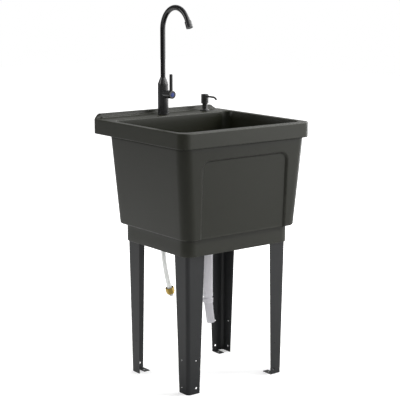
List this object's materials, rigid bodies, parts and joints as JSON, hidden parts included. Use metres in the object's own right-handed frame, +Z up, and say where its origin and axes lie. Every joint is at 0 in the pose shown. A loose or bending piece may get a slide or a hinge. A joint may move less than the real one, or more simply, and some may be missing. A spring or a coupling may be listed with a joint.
{
  "type": "utility sink",
  "caption": "Free-standing utility sink: tapered moulded tub with a tap deck on four folded steel legs, gooseneck cold tap, soap pump, drain tailpiece and supply hose.",
  "frame": {"origin": "on the floor, under the middle of the rim's outline", "axes": "+Z up, -Y out of the front of the bowl, +Y towards the tap deck, +X to the right seen from the front"},
  "size_m": [0.53, 0.522, 1.239],
  "materials": {
    "tub_plastic": "moulded, low sheen",
    "leg_steel": "black powder coat",
    "tap_black": "gloss black",
    "pump_black": "gloss black",
    "index_blue": "gloss",
    "brass": "turned",
    "steel": "brushed",
    "rubber": "matt",
    "hose_braid": "braided, milky",
    "cone_plastic": "smooth",
    "pump_plastic": "translucent white",
    "bottle_plastic": "translucent white",
    "nut_plastic": "white, moulded",
    "pipe_plastic": "pale grey, moulded"
  },
  "bodies": {
    "sink": {"tub": "tub_plastic", "leg_front_left": "leg_steel", "leg_front_right": "leg_steel", "leg_back_left": "leg_steel", "leg_back_right": "leg_steel", "tap_base_seal": "rubber", "tap_body": "tap_black", "spout_lock_screw": "steel", "valve_cartridge": "brass", "cartridge_nut": "brass", "tap_shank": "brass", "shank_rubber_washer": "rubber", "shank_steel_washer": "steel", "shank_nut": "brass", "hose_top_nut": "steel", "hose_top_washer": "rubber", "hose_top_ferrule": "steel", "supply_hose": "hose_braid", "hose_tail": "steel", "hose_swivel_nut": "brass", "hose_cone_seal": "cone_plastic", "pump_flange": "pump_black", "pump_nut": "pump_black", "pump_cylinder": "pump_plastic", "pump_spring": "steel", "pump_dip_tube": "pump_plastic", "soap_bottle": "bottle_plastic", "strainer_flange": "steel", "strainer_gasket": "rubber", "strainer_nut": "nut_plastic", "tailpiece_nut": "nut_plastic", "tailpiece_washer": "rubber", "drain_tailpiece": "pipe_plastic", "slip_washer": "rubber", "slip_nut": "pipe_plastic", "lower_drain_tube": "pipe_plastic"},
    "spout": {"spout_collar": "tap_black", "spout_stub": "brass", "spout_o_rings": "rubber", "spout_tube": "tap_black", "aerator_housing": "tap_black", "aerator_washer": "rubber", "aerator_insert": "steel"},
    "handle": {"valve_spindle": "brass", "handle_hub": "tap_black", "hub_grub_screw": "steel", "lever_rod": "tap_black", "index_cap": "index_blue"},
    "pump_plunger": {"pump_stem": "pump_plastic"},
    "pump_top": {"pump_head": "pump_black", "pump_nozzle": "pump_black"},
    "basket": {"strainer_basket": "steel", "basket_seal": "rubber"}
  },
  "joints": [
    {"name": "spout_turn", "type": "hinge", "parent": "sink", "child": "spout", "pos_m": [-0.005, 0.204, 1], "axis": [0, 0, 1], "range_deg": [-120, 120]},
    {"name": "handle_turn", "type": "hinge", "parent": "sink", "child": "handle", "pos_m": [-0.005, 0.16, 0.9355], "axis": [0, -1, 0], "range_deg": [0, 90]},
    {"name": "pump_press", "type": "slide", "parent": "sink", "child": "pump_plunger", "axis": [0, 0, 1], "range_m": [-0.015, 0], "stiffness_N_per_m": 250, "springref_m": 0.012, "deforming": ["pump_spring"]},
    {"name": "pump_turn", "type": "hinge", "parent": "pump_plunger", "child": "pump_top", "pos_m": [0.176, 0.204, 0.9], "axis": [0, 0, 1], "continuous": true},
    {"name": "basket_lift", "type": "slide", "parent": "sink", "child": "basket", "axis": [0, 0, 1], "range_m": [0, 0.03]}
  ]
}
